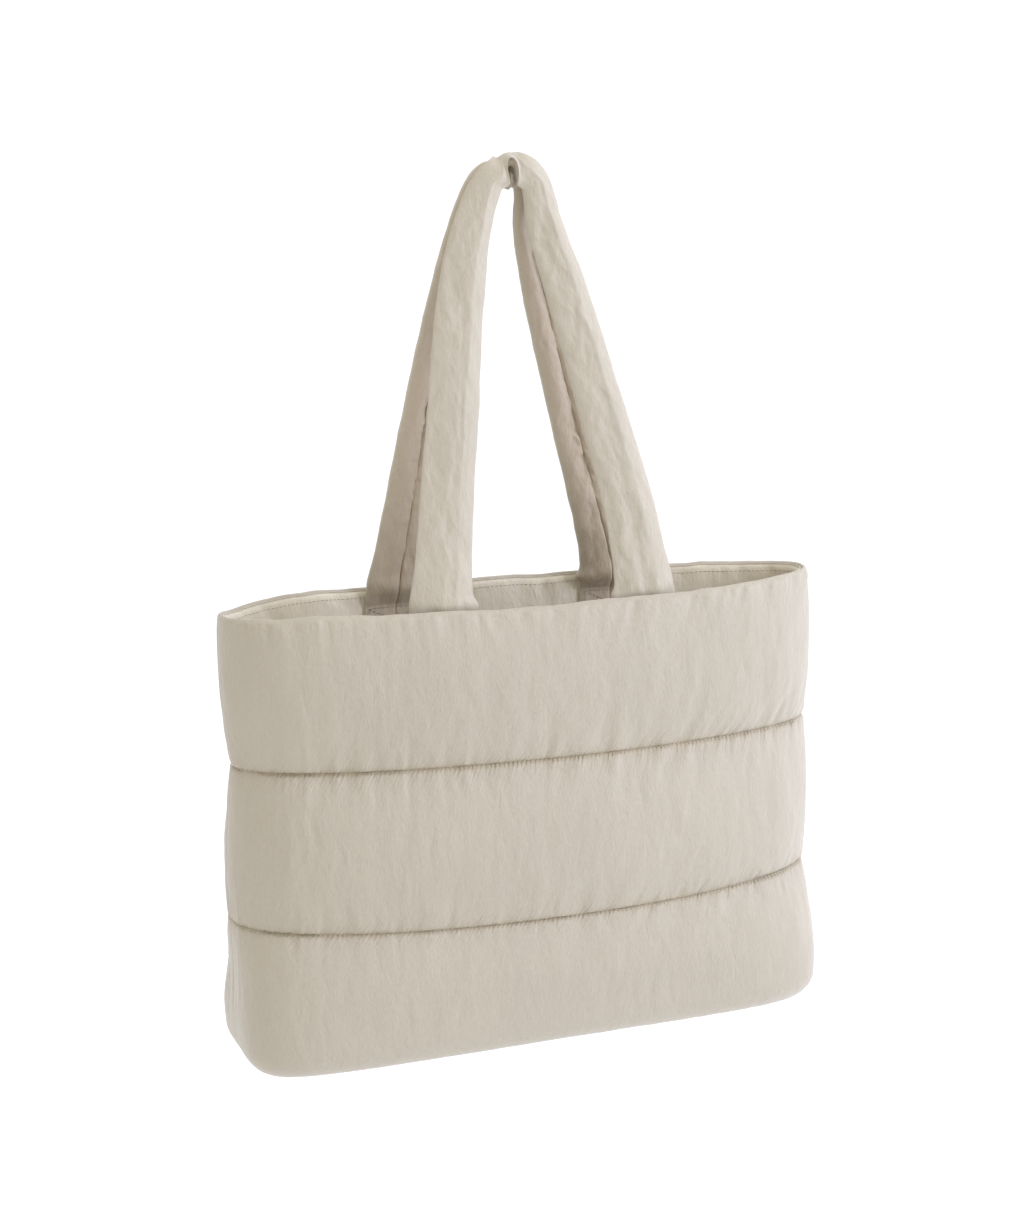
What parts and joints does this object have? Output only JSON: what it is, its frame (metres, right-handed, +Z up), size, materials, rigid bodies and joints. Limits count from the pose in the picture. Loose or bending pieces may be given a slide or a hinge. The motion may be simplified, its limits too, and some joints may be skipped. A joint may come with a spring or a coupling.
{
  "type": "puffer tote bag",
  "caption": "Padded nylon tote bag with horizontal quilted channels, an open lined mouth and two padded shoulder straps gathered over one hanging point.",
  "frame": {"origin": "the point under the crown of the gathered straps where the bag hangs, halfway between front and back", "axes": "+X to the right along the front panel, +Y from the front panel to the back panel, +Z up along the hanging straps"},
  "size_m": [0.4882, 0.1356, 0.684],
  "materials": {
    "shell": "pale greige crinkled nylon over soft padding, matt with a faint sheen",
    "lining": "the same nylon as the shell, unpadded and in shade",
    "strap": "the same crinkled nylon over soft padding, with one long seam on the inner face"
  },
  "bodies": {
    "root": {"front_panel": "shell", "back_panel": "shell", "lining": "lining", "front_strap": "strap", "back_strap": "strap"}
  },
  "joints": []
}
